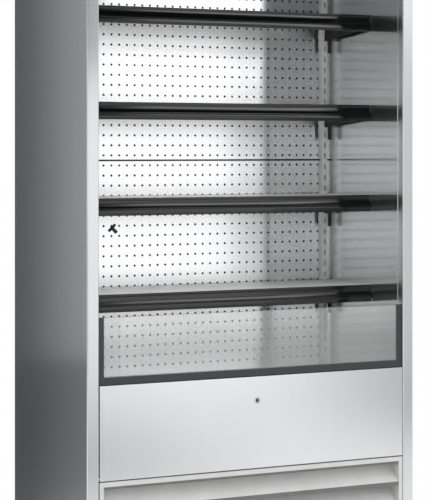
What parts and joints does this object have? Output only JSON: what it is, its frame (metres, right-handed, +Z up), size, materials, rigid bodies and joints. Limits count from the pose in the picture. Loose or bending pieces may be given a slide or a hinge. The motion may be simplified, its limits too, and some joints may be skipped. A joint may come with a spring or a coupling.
{
  "type": "open multideck display fridge",
  "caption": "Upright open-front display fridge with shelves, a glass riser, an access panel and a louvred grille.",
  "frame": {"origin": "on the floor, under the middle of the cabinet", "axes": "+Z up, +X to the right of someone facing the open front, -Y out of the open front"},
  "size_m": [0.95, 0.61, 1.9],
  "materials": {
    "stainless": "brushed",
    "polished_stainless": "polished",
    "galvanised": "galvanised",
    "shelf_paint": "satin powder coat",
    "black_paint": "satin black",
    "black_plastic": "matt black",
    "pale_plastic": "matt",
    "foam": "rigid foam",
    "glass": "clear",
    "aluminium": "mill",
    "copper": "drawn",
    "blind_cloth": "metallised weave",
    "diffuser": "opal"
  },
  "bodies": {
    "cabinet": {"left_side_panel": "stainless", "right_side_panel": "stainless", "insulation": "foam", "inner_liner": "polished_stainless", "side_liners": "polished_stainless", "rear_panel": "galvanised", "canopy_cover": "stainless", "canopy_underside": "polished_stainless", "honeycomb": "black_plastic", "base_frame": "galvanised", "lower_back_panel": "polished_stainless", "upper_back_panel": "polished_stainless", "uprights": "polished_stainless", "riser_frame": "black_plastic", "glass_riser": "glass", "base_deck": "polished_stainless", "return_grille": "polished_stainless", "fan_plate": "polished_stainless", "evaporator_motors": "black_plastic", "evaporator_coil": "aluminium", "condenser_coil": "aluminium", "condenser_shroud": "galvanised", "condenser_motor": "black_plastic", "compressor": "black_paint", "refrigerant_pipes": "copper", "drip_tray": "black_plastic", "control_box": "pale_plastic", "cord_gland": "black_plastic", "lamp": "diffuser", "blind_cassette": "aluminium", "blind_fabric": "blind_cloth", "control_panel": "black_plastic", "temperature_probe": "black_plastic"},
    "foot_front_left": {"foot_front_left": "galvanised"},
    "foot_front_right": {"foot_front_right": "galvanised"},
    "foot_back_left": {"foot_back_left": "galvanised"},
    "foot_back_right": {"foot_back_right": "galvanised"},
    "shelf_1": {"shelf_1_deck": "shelf_paint", "shelf_1_brackets": "black_paint", "shelf_1_strip": "black_plastic"},
    "shelf_2": {"shelf_2_deck": "shelf_paint", "shelf_2_brackets": "black_paint", "shelf_2_strip": "black_plastic"},
    "shelf_3": {"shelf_3_deck": "shelf_paint", "shelf_3_brackets": "black_paint", "shelf_3_strip": "black_plastic"},
    "shelf_4": {"shelf_4_deck": "shelf_paint", "shelf_4_brackets": "black_paint", "shelf_4_strip": "black_plastic"},
    "blind_bar": {"blind_bar": "aluminium"},
    "blind_roller": {"blind_roller": "blind_cloth"},
    "evaporator_fan_left": {"evaporator_fan_left": "black_plastic"},
    "evaporator_fan_right": {"evaporator_fan_right": "black_plastic"},
    "condenser_fan": {"condenser_fan": "black_plastic"},
    "access_panel": {"access_panel": "stainless"},
    "lock_cam": {"lock_cam": "galvanised"},
    "louvre_grille": {"louvre_grille": "aluminium"},
    "button_up": {"button_up": "pale_plastic"},
    "button_down": {"button_down": "pale_plastic"},
    "lamp_switch": {"lamp_switch": "black_plastic"}
  },
  "joints": [
    {"name": "foot_front_left_turn", "type": "hinge", "parent": "cabinet", "child": "foot_front_left", "pos_m": [-0.4488, -0.23, 0], "axis": [0, 0, 1], "continuous": true},
    {"name": "foot_front_right_turn", "type": "hinge", "parent": "cabinet", "child": "foot_front_right", "pos_m": [0.4488, -0.23, 0], "axis": [0, 0, 1], "continuous": true},
    {"name": "foot_back_left_turn", "type": "hinge", "parent": "cabinet", "child": "foot_back_left", "pos_m": [-0.4488, 0.2788, 0], "axis": [0, 0, 1], "continuous": true},
    {"name": "foot_back_right_turn", "type": "hinge", "parent": "cabinet", "child": "foot_back_right", "pos_m": [0.4488, 0.2788, 0], "axis": [0, 0, 1], "continuous": true},
    {"name": "shelf_1_lift", "type": "slide", "parent": "cabinet", "child": "shelf_1", "axis": [0, 0, 1], "range_m": [0, 0.01]},
    {"name": "shelf_2_lift", "type": "slide", "parent": "cabinet", "child": "shelf_2", "axis": [0, 0, 1], "range_m": [0, 0.01]},
    {"name": "shelf_3_lift", "type": "slide", "parent": "cabinet", "child": "shelf_3", "axis": [0, 0, 1], "range_m": [0, 0.01]},
    {"name": "shelf_4_lift", "type": "slide", "parent": "cabinet", "child": "shelf_4", "axis": [0, 0, 1], "range_m": [0, 0.01]},
    {"name": "blind_pull", "type": "slide", "parent": "cabinet", "child": "blind_bar", "axis": [0, 0, -1], "range_m": [0, 1.075], "stiffness_N_per_m": 8, "springref_m": -1.5, "deforming": ["blind_fabric"]},
    {"name": "blind_roller_turn", "type": "hinge", "parent": "cabinet", "child": "blind_roller", "pos_m": [0, -0.2599, 1.825], "axis": [1, 0, 0], "range_deg": [0, 2900]},
    {"name": "evaporator_fan_left_spin", "type": "hinge", "parent": "cabinet", "child": "evaporator_fan_left", "pos_m": [-0.22, -0.079, 0.426], "axis": [0, 1, 0], "continuous": true},
    {"name": "evaporator_fan_right_spin", "type": "hinge", "parent": "cabinet", "child": "evaporator_fan_right", "pos_m": [0.22, -0.079, 0.426], "axis": [0, 1, 0], "continuous": true},
    {"name": "condenser_fan_spin", "type": "hinge", "parent": "cabinet", "child": "condenser_fan", "pos_m": [-0.23, -0.181, 0.192], "axis": [0, 1, 0], "continuous": true},
    {"name": "access_panel_tilt", "type": "hinge", "parent": "cabinet", "child": "access_panel", "pos_m": [0, -0.299, 0.324], "axis": [1, 0, 0], "range_deg": [0, 90]},
    {"name": "lock_turn", "type": "hinge", "parent": "access_panel", "child": "lock_cam", "pos_m": [0, -0.3, 0.4963], "axis": [0, -1, 0], "range_deg": [0, 90]},
    {"name": "louvre_grille_pull", "type": "slide", "parent": "cabinet", "child": "louvre_grille", "axis": [0, -1, 0], "range_m": [0, 0.08]},
    {"name": "button_up_press", "type": "slide", "parent": "cabinet", "child": "button_up", "axis": [0, 1, 0], "range_m": [0, 0.0008], "stiffness_N_per_m": 300, "springref_m": -0.002},
    {"name": "button_down_press", "type": "slide", "parent": "cabinet", "child": "button_down", "axis": [0, 1, 0], "range_m": [0, 0.0008], "stiffness_N_per_m": 300, "springref_m": -0.002},
    {"name": "lamp_switch_rock", "type": "hinge", "parent": "cabinet", "child": "lamp_switch", "pos_m": [0.245, -0.2992, 1.843], "axis": [-1, 0, 0], "range_deg": [0, 14]}
  ],
  "couplings": [
    {"joint": "blind_roller_turn", "follows": "blind_pull", "rad_per_m": 46.729}
  ]
}
